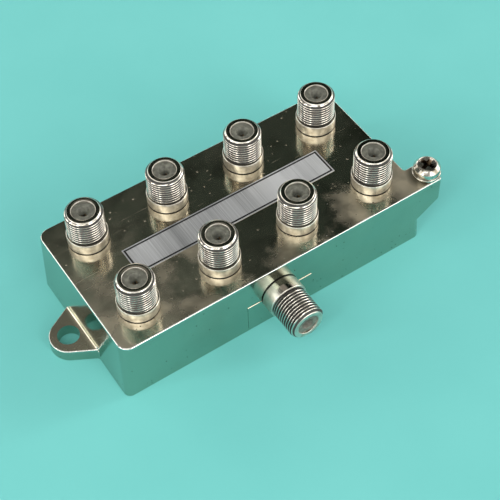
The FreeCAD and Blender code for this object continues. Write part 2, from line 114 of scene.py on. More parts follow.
plateFinish = {
    "wall": "#9FB0A5",              # nickel on the walls, painted darker and greener than the top: painted shade, for the shaded floor that they mirror
    "bright": "#E4DAC4",            # nickel on the upper faces, painted paler and warmer than the walls: painted sheen
    "dull": "#CFC5AE",              # hazed patches, which scatter the pale walls
    "dark": "#6E6C5E",              # tarnished blots
    "dust": "#E6E2D6",
    "pit": "#3F3C33",
    "rubbed": "#FBFAF6",            # bare white metal on the edges
    "upper": (0.3, 0.9),            # how far a face looks up
    "wallTopShare": 0.15,              # the walls take this much of the top's painted sheen, and of its stains
    "cloudSize": 14.0,
    "hazed": (0.48, 0.68),
    "touched": (9.0, -3.0),         # from the back to the front
    "untouched": 0.1,
    "scuffAt": (43.0, -16.0, roof),
    "scuffReach": (4.0, 13.0),
    "scuff": 0.75,
    "blotSize": 12.0,
    "blotted": (0.45, 0.68),
    "blot": 0.6,
    "earStart": (-43.2, -44.2),
    "earStain": 0.55,
    "washerAt": (*screwAxis, roof),
    "washerRingReach": (5.8, 4.0),
    "washerRing": 0.9,
    "pitSize": 1.1,
    "pitLuck": (0.86, 0.92),
    "pitRim": (0.10, 0.20),
    "pitDepth": 0.06,
    "dustSize": 1.9,
    "dustLuck": (0.80, 0.84),
    "dustRim": (0.05, 0.09),
    "scratchTurns": (0.35, 1.9),
    "scratchScale": (90, 4200, 300),
    "scratched": (0.71, 0.80),
    "scratchDepth": 0.01,
    "waveSize": 16.0,
    "waveHeight": 0.088,
    "grainSize": 0.35,
    "grainHeight": 0.004,
    "rough": (0.13, 0.54),          # clear and hazed
    "markRough": 0.14,              # more on scratches and dust
}


# bright nickel over a zinc pressure casting: the plating is a mirror, the casting under it isn't flat,
# so the eye sees smeared reflections, pinholes and fine handling scratches
def nickelOnCasting():
    f = plateFinish
    material, tree, place = startMaterial("nickelOnCasting")
    right, back = addNode(tree, "ShaderNodeSeparateXYZ", [place]).outputs[:2]
    # the faces that look up are painted paler and warmer and the walls darker and greener: painted sheen on the
    # top, painted shade on the walls
    upper = addNode(tree, "ShaderNodeMapRange", [lookUp(tree), *f["upper"], f["wallTopShare"]])
    # hands have dulled the front half, the back stays clear
    cloud = addNode(tree, "ShaderNodeTexNoise", {"Vector": place, "Scale": scaleFor(f["cloudSize"]),
                                                 "Detail": 5.0, "Roughness": 0.55})
    patch = addNode(tree, "ShaderNodeMapRange", [cloud, *f["hazed"]])
    touched = addNode(tree, "ShaderNodeMapRange", [back, *metres(f["touched"]), f["untouched"]])
    haze = addNode(tree, "ShaderNodeMath", [patch, touched], operation="MULTIPLY")
    # the plating is scuffed and dull where wires have been clamped, round the ground screw
    fromScuff = addNode(tree, "ShaderNodeVectorMath", [place, metres(f["scuffAt"])], operation="DISTANCE")
    scuff = addNode(tree, "ShaderNodeMapRange", [fromScuff, *metres(f["scuffReach"]), f["scuff"], 0.0])
    hazed = addNode(tree, "ShaderNodeMath", [haze, scuff], operation="MAXIMUM")
    stain = addNode(tree, "ShaderNodeMath", [hazed, upper], operation="MULTIPLY")
    # blots, the ear's top stained all over, and a darker ring round the washer
    blot = addNode(tree, "ShaderNodeTexNoise", {"Vector": place, "Scale": scaleFor(f["blotSize"]),
                                                "Detail": 4.0, "Roughness": 0.55, "Distortion": 0.4})
    blotted = addNode(tree, "ShaderNodeMapRange", [blot, *f["blotted"], 0.0, f["blot"]])
    onEar = addNode(tree, "ShaderNodeMapRange", [right, *metres(f["earStart"]), 0.0, f["earStain"]])
    fromWasher = addNode(tree, "ShaderNodeVectorMath", [place, metres(f["washerAt"])], operation="DISTANCE")
    washerRing = addNode(tree, "ShaderNodeMapRange", [fromWasher, *metres(f["washerRingReach"]), 0.0, f["washerRing"]])
    handled = addNode(tree, "ShaderNodeMath", [onEar, blotted], operation="MAXIMUM")
    dirty = addNode(tree, "ShaderNodeMath", [handled, washerRing], operation="MAXIMUM")
    dark = addNode(tree, "ShaderNodeMath", [dirty, upper], operation="MULTIPLY")
    pit = strewn(tree, place, f["pitSize"], 0, f["pitLuck"], f["pitRim"])
    dust = strewn(tree, place, f["dustSize"], 1, f["dustLuck"], f["dustRim"])
    worn = addNode(tree, "ShaderNodeAttribute", attribute_name="worn").outputs["Fac"]
    # each layer covers the ones before it
    colour = linear(f["wall"])
    for amount, name in ((upper, "bright"), (stain, "dull"), (dark, "dark"), (dust, "dust"), (pit, "pit"),
                         (worn, "rubbed")):
        colour = addNode(tree, "ShaderNodeMix", {0: amount, 6: colour, 7: linear(f[name])}, data_type="RGBA")
    # scratches: noise drawn out along two directions
    streaks = []
    for turn in f["scratchTurns"]:
        along = addNode(tree, "ShaderNodeMapping", {"Vector": place, "Rotation": (0, 0, turn),
                                                    "Scale": f["scratchScale"]})
        line = addNode(tree, "ShaderNodeTexNoise", {"Vector": along, "Scale": 1.0, "Detail": 2.0,
                                                    "Distortion": 0.8})
        streaks.append(addNode(tree, "ShaderNodeMapRange", [line, *f["scratched"]]))
    scratch = addNode(tree, "ShaderNodeMath", streaks, operation="MAXIMUM")
    marked = addNode(tree, "ShaderNodeMath", [scratch, dust], operation="MAXIMUM")
    plain = addNode(tree, "ShaderNodeMapRange", [stain, 0.0, 1.0, *f["rough"]])
    rough = addNode(tree, "ShaderNodeMath", [marked, f["markRough"], plain], operation="MULTIPLY_ADD")
    wave = addNode(tree, "ShaderNodeTexNoise", {"Vector": place, "Scale": scaleFor(f["waveSize"]),
                                                "Detail": 2.5, "Roughness": 0.45})
    grain = addNode(tree, "ShaderNodeTexNoise", {"Vector": place, "Scale": scaleFor(f["grainSize"]),
                                                 "Detail": 2.0})
    bent = {}
    relief = ((wave, 1.0, "waveHeight", False), (grain, 0.25, "grainHeight", False),
              (scratch, 0.4, "scratchDepth", True), (pit, 0.8, "pitDepth", True))
    for height, strength, size, inward in relief:
        bump = addNode(tree, "ShaderNodeBump", {"Height": height, "Strength": strength,
                                                "Distance": f[size] * mm, **bent}, invert=inward)
        bent = {"Normal": bump}
    return endMaterial(material, {"Base Color": colour, "Metallic": 1.0, "Roughness": rough, **bent})


barrelFinish = {
    "bright": "#DAD6CD",
    "dull": "#B3ACA0",
    "face": "#B3AA9C",              # turned faces that look up, painted darker: painted shade
    "grooveShade": "#100E0B",            # painted shade, with some grime, in the thread's grooves and at the collar's foot
    "wearSize": 2.4,
    "worn": (0.45, 0.70),
    "upper": (0.85, 0.98),          # how far a face looks up
    "shadedDepth": (0.12, 0.23),          # as a part of the thread's depth
    "shadeAndGrime": 0.95,
    "cover": 0.95,                  # how much of the metal's shine the painted shade and grime take
    "grainSize": 0.5,
    "grainHeight": 0.006,
    "dentSize": 1.3,
    "dentHeight": 0.012,
    "roughCollar": 0.36,
    "roughThread": 0.09,
    "roughWear": 0.10,
    "roughShadeAndGrime": 0.4,
}


# bright nickel on turned and rolled brass: white glints on each ridge, softer where a nut has rubbed it
def nickelOnBrass():
    f = barrelFinish
    material, tree, place = startMaterial("nickelOnBrass")
    wear = addNode(tree, "ShaderNodeTexNoise", {"Vector": place, "Scale": scaleFor(f["wearSize"]),
                                                "Detail": 4.0, "Roughness": 0.6})
    worn = addNode(tree, "ShaderNodeMapRange", [wear, *f["worn"]])
    # the turned faces that look up are smoother than the collars, and painted darker: painted shade
    upShadedSmooth = addNode(tree, "ShaderNodeMapRange", [lookUp(tree), *f["upper"]])
    # the thread's mesh says where a ridge stands and how deep its groove is, which sets the painted shade in
    # the grooves
    grooveShade = addNode(tree, "ShaderNodeAttribute", attribute_name="grooveShade").outputs["Fac"]
    rolled = addNode(tree, "ShaderNodeAttribute", attribute_name="rolled").outputs["Fac"]
    # painted shade, with some grime, over each groove and the lower part of each flank
    shadeAndGrime = addNode(tree, "ShaderNodeMapRange", [grooveShade, *f["shadedDepth"], 0.0, f["shadeAndGrime"]])
    colour = linear(f["bright"])
    for amount, name in ((worn, "dull"), (upShadedSmooth, "face"), (shadeAndGrime, "grooveShade")):
        colour = addNode(tree, "ShaderNodeMix", {0: amount, 6: colour, 7: linear(f[name])}, data_type="RGBA")
    # the painted shade and grime aren't metal: they stay dark where the barrel is seen edge on
    bare = addNode(tree, "ShaderNodeMath", [shadeAndGrime, -f["cover"], 1.0], operation="MULTIPLY_ADD")
    smooth = addNode(tree, "ShaderNodeMath", [rolled, upShadedSmooth], operation="MAXIMUM")
    rough = addNode(tree, "ShaderNodeMapRange", [smooth, 0.0, 1.0, f["roughCollar"], f["roughThread"]])
    for amount, name in ((worn, "roughWear"), (shadeAndGrime, "roughShadeAndGrime")):
        rough = addNode(tree, "ShaderNodeMath", [amount, f[name], rough], operation="MULTIPLY_ADD")
    grain = addNode(tree, "ShaderNodeTexNoise", {"Vector": place, "Scale": scaleFor(f["grainSize"]),
                                                 "Detail": 3.0})
    dents = addNode(tree, "ShaderNodeTexNoise", {"Vector": place, "Scale": scaleFor(f["dentSize"]),
                                                 "Detail": 1.0})
    grained = addNode(tree, "ShaderNodeBump", {"Height": grain, "Strength": 0.35,
                                               "Distance": f["grainHeight"] * mm})
    dented = addNode(tree, "ShaderNodeBump", {"Height": dents, "Strength": 0.5,
                                              "Distance": f["dentHeight"] * mm, "Normal": grained})
    return endMaterial(material, {"Base Color": colour, "Metallic": bare, "Roughness": rough, "Normal": dented})


funnelFinish = {
    "clean": "#5E5F57",
    "dusty": "#7B7C72",
    "dustSize": 0.9,
    "dusted": (0.40, 0.68),
    "rough": (0.28, 0.52),
    "grainHeight": 0.03,
    "scatter": 1.2,                 # how far light goes in
}


# moulded polyethylene, unpigmented but grey with dust: light goes a little way in and the funnel looks milky
def greyPolyethylene():
    f = funnelFinish
    material, tree, place = startMaterial("greyPolyethylene")
    dust = addNode(tree, "ShaderNodeTexNoise", {"Vector": place, "Scale": scaleFor(f["dustSize"]),
                                                "Detail": 4.0})
    amount = addNode(tree, "ShaderNodeMapRange", [dust, *f["dusted"]])
    colour = addNode(tree, "ShaderNodeMix", {0: amount, 6: linear(f["clean"]), 7: linear(f["dusty"])},
                     data_type="RGBA")
    rough = addNode(tree, "ShaderNodeMapRange", [dust, 0.0, 1.0, *f["rough"]])
    bump = addNode(tree, "ShaderNodeBump", {"Height": dust, "Strength": 0.3, "Distance": f["grainHeight"] * mm})
    return endMaterial(material, {
        "Base Color": colour, "Roughness": rough, "Normal": bump, "IOR": 1.51, "Subsurface Weight": 0.7,
        "Subsurface Radius": (1.0, 0.95, 0.85), "Subsurface Scale": f["scatter"] * mm})


labelFinish = {
    "foil": "#E4E6EA",
    "foilDark": "#6A6D71",
    "border": "#101012",
    "middle": (0.0, 0.3),           # on the top plate
    "size": (56.0, 8.2),
    "borderInset": 0.28,
    "borderWide": 0.46,
    "brushPitch": 0.22,             # real brush lines are about 0.05 mm, drawn coarser so that they show
    "brushDrawn": (26, 100),        # the pattern's scale along the strokes and down
    "bandSize": 9.0,
    "bandDrawn": (12, 12),
    "bandWeight": 1.2,
    "sheenTowardsRight": (-0.1, 0.25),          # painted sheen, at the left and right ends
    "brushed": (0.65, 1.45),
    "metallic": 0.55,
    "rough": (0.34, 0.56),
    "brushHeight": 0.03,
}


# brushed aluminium foil sticker: neutral silver, streaked across its width, with a printed border line
def brushedFoil():
    f = labelFinish
    material, tree, place = startMaterial("brushedFoil")
    brush = addNode(tree, "ShaderNodeMapping", {"Vector": place,
                                                "Scale": (scaleFor(f["brushPitch"]), *f["brushDrawn"])})
    hair = addNode(tree, "ShaderNodeTexNoise", {"Vector": brush, "Scale": 1.0, "Detail": 3.0, "Roughness": 0.7})
    split = addNode(tree, "ShaderNodeSeparateXYZ", [place]).outputs
    # the foil is painted paler towards its right end, a painted sheen, with broad bands across it
    along = addNode(tree, "ShaderNodeMapping", {"Vector": place,
                                                "Scale": (scaleFor(f["bandSize"]), *f["bandDrawn"])})
    band = addNode(tree, "ShaderNodeTexNoise", {"Vector": along, "Scale": 1.0, "Detail": 2.0})
    end = f["size"][0] / 2 * mm
    sheenTowardsRight = addNode(tree, "ShaderNodeMapRange", [split[0], -end, end, *f["sheenTowardsRight"]])
    banded = addNode(tree, "ShaderNodeMath", [band, f["bandWeight"], sheenTowardsRight], operation="MULTIPLY_ADD")
    mixed = addNode(tree, "ShaderNodeMath", [hair, banded], operation="ADD")
    hairline = addNode(tree, "ShaderNodeMapRange", [mixed, *f["brushed"]])
    foil = addNode(tree, "ShaderNodeMix", {0: hairline, 6: linear(f["foilDark"]), 7: linear(f["foil"])},
                   data_type="RGBA")
    # distance in from the nearest edge
    inward = []
    for axis in (0, 1):
        off = addNode(tree, "ShaderNodeMath", [split[axis], f["middle"][axis] * mm], operation="SUBTRACT")
        away = addNode(tree, "ShaderNodeMath", [off], operation="ABSOLUTE")
        inward.append(addNode(tree, "ShaderNodeMath", [f["size"][axis] / 2 * mm, away], operation="SUBTRACT"))
    edge = addNode(tree, "ShaderNodeMath", inward, operation="MINIMUM")
    halfLine = f["borderWide"] / 2
    line = addNode(tree, "ShaderNodeMath", [edge, (f["borderInset"] + halfLine) * mm, halfLine * mm],
                   operation="COMPARE")
    colour = addNode(tree, "ShaderNodeMix", {0: line, 6: foil, 7: linear(f["border"])}, data_type="RGBA")
    metal = addNode(tree, "ShaderNodeMath", [line, -f["metallic"], f["metallic"]], operation="MULTIPLY_ADD")
    rough = addNode(tree, "ShaderNodeMapRange", [hair, 0.0, 1.0, *f["rough"]])
    bump = addNode(tree, "ShaderNodeBump", {"Height": hair, "Strength": 0.5, "Distance": f["brushHeight"] * mm})
    return endMaterial(material, {"Base Color": colour, "Metallic": metal, "Roughness": rough, "Normal": bump})


zincFinish = {
    "bright": "#DAD6CE",
    "dull": "#9A9282",
    "shadeAndGrime": "#4A3A24",
    "wearSize": 1.6,
    "worn": (0.4, 0.7),
    "recess": (2.6, 1.9),           # the painted shade and grime lie this near to the screw's axis
    "crown": (21.8, 21.3),          # and below these heights
    "recessShadeAndGrime": 0.9,
    "rough": (0.08, 0.34),
    "dentHeight": 0.05,
}


# bright zinc on steel: whiter than nickel, with painted shade and brown grime in the recess
def zincOnSteel():
    f = zincFinish
    material, tree, place = startMaterial("zincOnSteel")
    wear = addNode(tree, "ShaderNodeTexNoise", {"Vector": place, "Scale": scaleFor(f["wearSize"]),
                                                "Detail": 4.0})
    worn = addNode(tree, "ShaderNodeMapRange", [wear, *f["worn"]])
    outward = addNode(tree, "ShaderNodeVectorMath", [place, metres((*screwAxis, 0))], operation="SUBTRACT")
    part = addNode(tree, "ShaderNodeSeparateXYZ", [outward]).outputs
    level = addNode(tree, "ShaderNodeCombineXYZ", part[:2])
    radius = addNode(tree, "ShaderNodeVectorMath", [level], operation="LENGTH")
    within = addNode(tree, "ShaderNodeMapRange", [radius, *metres(f["recess"])])
    below = addNode(tree, "ShaderNodeMapRange", [part[2], *metres(f["crown"]), 0.0, f["recessShadeAndGrime"]])
    # painted shade and grime in the recess
    shadeAndGrime = addNode(tree, "ShaderNodeMath", [within, below], operation="MULTIPLY")
    colour = linear(f["bright"])
    for amount, name in ((worn, "dull"), (shadeAndGrime, "shadeAndGrime")):
        colour = addNode(tree, "ShaderNodeMix", {0: amount, 6: colour, 7: linear(f[name])}, data_type="RGBA")
    rough = addNode(tree, "ShaderNodeMapRange", [wear, 0.0, 1.0, *f["rough"]])
    bump = addNode(tree, "ShaderNodeBump", {"Height": wear, "Strength": 0.5, "Distance": f["dentHeight"] * mm})
    return endMaterial(material, {"Base Color": colour, "Metallic": 1.0, "Roughness": rough, "Normal": bump})


# two colours, a roughness range and a grain, for the sheet metal and the parts inside
def grainedMaterial(name, light, dark, size, rough, height, metallic, stretch=(1, 1, 1)):
    material, tree, place = startMaterial(name)
    spread = (0.35, 0.68)
    drawn = addNode(tree, "ShaderNodeMapping", {"Vector": place, "Scale": stretch})
    grain = addNode(tree, "ShaderNodeTexNoise", {"Vector": drawn, "Scale": scaleFor(size), "Detail": 4.0,
                                                 "Roughness": 0.6})
    amount = addNode(tree, "ShaderNodeMapRange", [grain, *spread])
    colour = addNode(tree, "ShaderNodeMix", {0: amount, 6: linear(light), 7: linear(dark)}, data_type="RGBA")
    gloss = addNode(tree, "ShaderNodeMapRange", [grain, *spread, *rough])
    fine = addNode(tree, "ShaderNodeTexNoise", {"Vector": drawn, "Scale": scaleFor(size / 4), "Detail": 2.0})
    bump = addNode(tree, "ShaderNodeBump", {"Height": fine, "Strength": 0.4, "Distance": height * mm})
    return endMaterial(material, {"Base Color": colour, "Metallic": metallic, "Roughness": gloss,
                                  "Normal": bump})


# one finish for each of the record's slots
finishes = {
    "cast_zinc": nickelOnCasting(),
    "plated_barrel": nickelOnBrass(),
    "insulator_plastic": greyPolyethylene(),
    "label_foil": brushedFoil(),
    "plated_screw": zincOnSteel(),
    # tinned sheet steel: soft sheen, rolling lines along its length
    "cover_steel": grainedMaterial("tinnedSteel", "#BDBCB6", "#8F8E87", 1.2, (0.26, 0.46), 0.01, 1.0,
                                   (0.08, 1, 1)),
    # phosphor bronze strip, tin flashed at the fork: brownish gold, dull
    "contact_bronze": grainedMaterial("phosphorBronze", "#8F7C60", "#5F4F3A", 0.6, (0.30, 0.48), 0.01, 1.0),
    # glass epoxy under green solder mask: glossy, woven cloth just shows
    "board_laminate": grainedMaterial("solderMask", "#1F6B41", "#17502F", 0.7, (0.25, 0.42), 0.02, 0.0),
    # sintered ferrite: charcoal, matt, powdery edges
    "ferrite": grainedMaterial("sinteredFerrite", "#3A3A3C", "#28282A", 0.4, (0.55, 0.80), 0.05, 0.0),
    # enamelled copper: clear varnish over red-brown metal
    "enamelled_wire": grainedMaterial("enamelledCopper", "#B4552B", "#7F3517", 0.5, (0.18, 0.32), 0.01, 0.9),
    # chip capacitors and resistors: fired ceramic, tan, slightly rough
    "chip_ceramic": grainedMaterial("firedCeramic", "#B79C76", "#8C7454", 0.5, (0.35, 0.60), 0.02, 0.0),
    # moulded epoxy: black, satin, fine mould grain
    "moulded_epoxy": grainedMaterial("mouldedEpoxy", "#232325", "#17171A", 0.5, (0.40, 0.60), 0.03, 0.0),
}
for name, node in nodes.items():
    slot = node.data.materials[0].name.split(".")[0]
    if slot not in finishes:
        print("no finish for", name, slot)
    for i in range(len(node.material_slots)):
        node.material_slots[i].material = finishes.get(slot, finishes["cast_zinc"])
print("materials:", len(finishes))


# mesh helpers

# rounds the corners of a profile of (radius, height, rounding) points
def roundedProfile(points, steps=4):
    out = []
    for i, (r, h, bend) in enumerate(points):
        here = Vector((r, h))
        if bend == 0 or i in (0, len(points) - 1):
            out.append(here)
            continue
        before = (Vector(points[i - 1][:2]) - here).normalized()
        after = (Vector(points[i + 1][:2]) - here).normalized()
        half = before.angle(after) / 2
        reach = bend / math.tan(half)
        middle = here + (before + after).normalized() * (bend / math.sin(half))
        first = here + before * reach - middle
        last = here + after * reach - middle
        for k in range(steps + 1):
            out.append(middle + first.slerp(last, k / steps).normalized() * bend)
    return out


def meshFrom(bm, name):
    mesh = bpy.data.meshes.new(name)
    bm.to_mesh(mesh)
    bm.free()
    return mesh


def joinedMesh(name, *parts):
    bm = bmesh.new()
    for part in parts:
        bm.from_mesh(part)
    return meshFrom(bm, name)


# turns a profile round the upright axis; sizes in mm, mesh in metres
def turnedMesh(name, profile, sides):
    bm = bmesh.new()
    rings = []
    for point in profile:
        if point.x < 1e-6:
            rings.append([bm.verts.new((0, 0, point.y * mm))] * sides)
            continue
        ring = []
        for k in range(sides):
            turn = k / sides * math.tau
            east, north = point.x * mm * math.cos(turn), point.x * mm * math.sin(turn)
            ring.append(bm.verts.new((east, north, point.y * mm)))
        rings.append(ring)
    for lower, upper in zip(rings, rings[1:]):
        for k in range(sides):
            j = (k + 1) % sides
            corners = []
            for corner in (lower[k], lower[j], upper[j], upper[k]):
                if corner not in corners:
                    corners.append(corner)
            bm.faces.new(corners)
    return meshFrom(bm, name)


def newObject(name, mesh):
    made = bpy.data.objects.new(name, mesh)
    bpy.context.scene.collection.objects.link(made)
    return made


# turns an object into a plain mesh, welded, facing outwards, smooth up to a crease angle
def plainMesh(made, name, crease):
    bpy.context.view_layer.update()
    shown = made.evaluated_get(bpy.context.evaluated_depsgraph_get())
    mesh = bpy.data.meshes.new_from_object(shown)
    mesh.name = name
    bm = bmesh.new()
    bm.from_mesh(mesh)
    bmesh.ops.remove_doubles(bm, verts=bm.verts, dist=0.0005 * mm)
    bmesh.ops.recalc_face_normals(bm, faces=bm.faces)
    bm.to_mesh(mesh)
    bm.free()
    mesh.shade_smooth()
    mesh.set_sharp_from_angle(angle=math.radians(crease))
    bpy.data.objects.remove(made)
    return mesh


def finishPiece(made, body, slot, *replaced):
    if not made.data.materials:
        made.data.materials.append(finishes[slot])
    else:
        made.data.materials[0] = finishes[slot]
    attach(made, body)
    if replaced:
        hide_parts(*replaced)


threadShape = {
    "crestPower": 1.5,              # 1 is a straight flank, more makes the crest rounder
    "runOut": 0.5,                  # turns in which the ridge rises to its height
    "grooveCut": 0.6,               # how much slower the mouth's bevel widens in a groove
    "weld": 0.002,
    "crease": 40,
}


# a sheet is rolled up round the upright axis and its ridges wind up it; it closes the open band of the blank
def rolledThreadTree():
    tree = bpy.data.node_groups.new("rolledThread", "GeometryNodeTree")
    tree.interface.new_socket(name="Geometry", in_out="OUTPUT", socket_type="NodeSocketGeometry")
    wanted = {
        "NodeSocketGeometry": ["Blank"],
        "NodeSocketFloat": ["Start", "Length", "Pitch", "Crest radius", "Depth", "Mouth radius", "Mouth bevel"],
        "NodeSocketInt": ["Sides", "Rows"],
        "NodeSocketMaterial": ["Finish"],
    }
    for kind, names in wanted.items():
        for name in names:
            tree.interface.new_socket(name=name, in_out="INPUT", socket_type=kind)
    given = addNode(tree, "NodeGroupInput").outputs
    columns = addNode(tree, "ShaderNodeMath", [given["Sides"], 1.0], operation="ADD")
    sheet = addNode(tree, "GeometryNodeMeshGrid", {"Size X": 1.0, "Size Y": 1.0, "Vertices X": columns,
                                                   "Vertices Y": given["Rows"]})
    spot = addNode(tree, "ShaderNodeSeparateXYZ", [addNode(tree, "GeometryNodeInputPosition")]).outputs
    turn = addNode(tree, "ShaderNodeMath", [spot[0], 0.5], operation="ADD")
    along = addNode(tree, "ShaderNodeMath", [spot[1], 0.5], operation="ADD")
    rise = addNode(tree, "ShaderNodeMath", [along, given["Length"]], operation="MULTIPLY")
    # ridge height, 0 in the root and 1 on the crest, which is round; the roots are sharp
    turns = addNode(tree, "ShaderNodeMath", [rise, given["Pitch"]], operation="DIVIDE")
    phase = addNode(tree, "ShaderNodeMath", [turns, turn], operation="SUBTRACT")
    away = addNode(tree, "ShaderNodeMath", [phase, 0.5], operation="PINGPONG")
    double = addNode(tree, "ShaderNodeMath", [away, 2.0], operation="MULTIPLY")
    fall = addNode(tree, "ShaderNodeMath", [double, threadShape["crestPower"]], operation="POWER")
    ridge = addNode(tree, "ShaderNodeMath", [1.0, fall], operation="SUBTRACT")
    runOut = addNode(tree, "ShaderNodeMath", [turns, 1 / threadShape["runOut"]], operation="MULTIPLY",
                     use_clamp=True)
    height = addNode(tree, "ShaderNodeMath", [ridge, runOut], operation="MULTIPLY")
    root = addNode(tree, "ShaderNodeMath", [given["Crest radius"], given["Depth"]], operation="SUBTRACT")
    radius = addNode(tree, "ShaderNodeMath", [height, given["Depth"], root], operation="MULTIPLY_ADD")
    depth = addNode(tree, "ShaderNodeMath", [1.0, height], operation="SUBTRACT")
    # the mouth's bevel cuts the last ridges, and the grooves run out through it
    left = addNode(tree, "ShaderNodeMath", [given["Length"], rise], operation="SUBTRACT")
    step = addNode(tree, "ShaderNodeMath", [given["Crest radius"], given["Mouth radius"]], operation="SUBTRACT")
    slope = addNode(tree, "ShaderNodeMath", [step, given["Mouth bevel"]], operation="DIVIDE")
    steep = addNode(tree, "ShaderNodeMath", [depth, -threadShape["grooveCut"], slope], operation="MULTIPLY_ADD")
    cone = addNode(tree, "ShaderNodeMath", [left, steep, given["Mouth radius"]], operation="MULTIPLY_ADD")
    reach = addNode(tree, "ShaderNodeMath", [radius, cone], operation="MINIMUM")
    around = addNode(tree, "ShaderNodeMath", [turn, math.tau], operation="MULTIPLY")
    placed = []
    for wave in ("COSINE", "SINE"):
        swing = addNode(tree, "ShaderNodeMath", [around], operation=wave)
        placed.append(addNode(tree, "ShaderNodeMath", [reach, swing], operation="MULTIPLY"))
    placed.append(addNode(tree, "ShaderNodeMath", [given["Start"], rise], operation="ADD"))
    curled = addNode(tree, "ShaderNodeCombineXYZ", placed)
    rolled = sheet
    # the groove's depth is kept for the painted shade in the grooves
    for name, value in (("grooveShade", depth), ("rolled", 1.0)):
        rolled = addNode(tree, "GeometryNodeStoreNamedAttribute", {"Geometry": rolled, "Name": name,
                                                                   "Value": value},
                         data_type="FLOAT", domain="POINT")
    rolled = addNode(tree, "GeometryNodeSetPosition", {"Geometry": rolled, "Position": curled})
    joined = addNode(tree, "GeometryNodeJoinGeometry", [rolled])
    tree.links.new(given["Blank"], joined.inputs[0])
    welded = addNode(tree, "GeometryNodeMergeByDistance", {"Geometry": joined,
                                                          "Distance": threadShape["weld"] * mm})
    real = addNode(tree, "GeometryNodeRealizeInstances", {"Geometry": welded})
    coated = addNode(tree, "GeometryNodeSetMaterial", {"Geometry": real, "Material": given["Finish"]})
    addNode(tree, "NodeGroupOutput", [coated])
    return tree


threadTree = rolledThreadTree()


# runs the tree on a blank and gives the threaded mesh
def threadedMesh(name, blank, values):
    made = newObject(name, blank)
    modifier = made.modifiers.new("thread", "NODES")
    modifier.node_group = threadTree
    for item in threadTree.interface.items_tree:
        if item.name in values:
            modifier[item.identifier] = values[item.name]
    return plainMesh(made, name, threadShape["crease"])


barrel = {
    "below": 2.0,                   # how far it stands in the roof
    "collarRadius": 5.05,
    "collarBevel": 0.25,
    "collar": 3.0,
    "reach": 10.5,
    "crestRadius": 4.7,
    "depth": 0.5,
    "pitch": 0.794,                 # 32 turns to the inch
    "mouthRadius": 4.1,             # where the thread's bevel meets the steep rim of the mouth
    "mouthBevel": 0.55,
    "faceRadius": 3.9,
    "faceDrop": 0.2,
    "faceRound": 0.06,
    "bore": 2.85,
    "boreRound": 0.17,
    "seam": 0.26,                   # chamfer at the foot, which makes the dark line on the plate
    "seamRound": 0.03,
    "sides": 96,
    "rowsPerTurn": 16,
}


def barrelMesh(name, below, collar, reach):
    b = barrel
    root = b["crestRadius"] - b["depth"]
    foot = b["collarRadius"] - b["seam"]
    outline = [
        (root, collar, 0),
        (b["collarRadius"], collar, b["collarBevel"]),
        (b["collarRadius"], b["seam"], b["seamRound"]),
        (foot, 0.0, 0),
        (foot, -below, 0),
        (b["bore"], -below, 0),
        (b["bore"], reach, b["boreRound"]),
        (b["faceRadius"], reach, b["faceRound"]),
        (b["mouthRadius"], reach - b["faceDrop"], 0),
    ]
    blank = turnedMesh(name, roundedProfile(outline), b["sides"])
    # painted shade in the seam where the collar meets the casting
    grooveShade = blank.attributes.new("grooveShade", "FLOAT", "POINT")
    for vertex in blank.vertices:
        atFoot = abs(vertex.co.z) < (b["seam"] + 0.01) * mm and vertex.co.xy.length > (b["bore"] + 0.5) * mm
        grooveShade.data[vertex.index].value = 1.0 if atFoot else 0.0
    length = reach - b["faceDrop"] - collar
    return threadedMesh(name, blank, {
        "Start": collar * mm, "Length": length * mm, "Pitch": b["pitch"] * mm,
        "Crest radius": b["crestRadius"] * mm, "Depth": b["depth"] * mm, "Mouth radius": b["mouthRadius"] * mm,
        "Mouth bevel": b["mouthBevel"] * mm, "Sides": b["sides"],
        "Rows": int(length / b["pitch"] * b["rowsPerTurn"]), "Finish": finishes["plated_barrel"]})


outputTurn = 2.1    # radians more on each barrel, so that no two threads start alike
master = barrelMesh("output_barrel", barrel["below"], barrel["collar"], barrel["reach"])
for n in range(1, 9):
    low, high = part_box(f"output_{n}_port")
    spot = Vector(((low.x + high.x) / 2, (low.y + high.y) / 2, roof * mm))
    mesh = master.copy()
    mesh.transform(Matrix.Translation(spot) @ Matrix.Rotation(n * outputTurn, 4, "Z"))
    piece = newObject(f"output_{n}_barrel", mesh)
    finishPiece(piece, "splitter_body", "plated_barrel", f"output_{n}_port")

inputPort = {"below": 1.8, "collar": 3.9, "reach": 12.0, "spot": (0.0, -halfHousing[1], 9.2)}
mesh = barrelMesh("input_barrel", inputPort["below"], inputPort["collar"], inputPort["reach"])
mesh.transform(Matrix.Translation(metres(inputPort["spot"])) @ Matrix.Rotation(math.pi / 2, 4, "X"))
piece = newObject("input_barrel", mesh)
finishPiece(piece, "splitter_body", "plated_barrel", "input_port")
print("barrels: 9,", len(master.polygons), "faces each")


# housing: the casting's own mesh, with its 45 degree edges shaded as rounds and draft on its end walls

draft = {
    "cornerRound": 2.75,
    "footRound": 1.7,               # the corners are sharper at the foot
    "spread": 0.75,                 # how much further out each end wall stands at its foot
    "spreadStart": 25.0,            # the long walls stay flat as far as this
    "spreadRun": 14.0,
    "kept": 43.0,                   # the ear's fillet moves with the wall, its hole doesn't
    "still": 43.9,
    "flush": 0.05,                  # a point this near to a wall's plane is on it
    "onRound": 0.03,
    "slack": 0.01,
    "untouched": 0.04,              # part of the height, under the roof, that the draft leaves alone
}

# the ground boss's underside meets the end wall higher up in the photo than in the solid
boss = {"low": 5.6, "lift": 1.7, "toe": 10.8, "reach": 6.2, "inner": 39.4, "back": -12.8}

# the slide's witness line is only 0.12 mm high; its upper edge is worn round and catches the light
witness = {"front": -20.7, "normal": (0, -0.75, 0.66)}

# an edge from this height up is shaded as a round and rubbed bare
bevel = {"least": 0.2, "rubbed": 0.8}


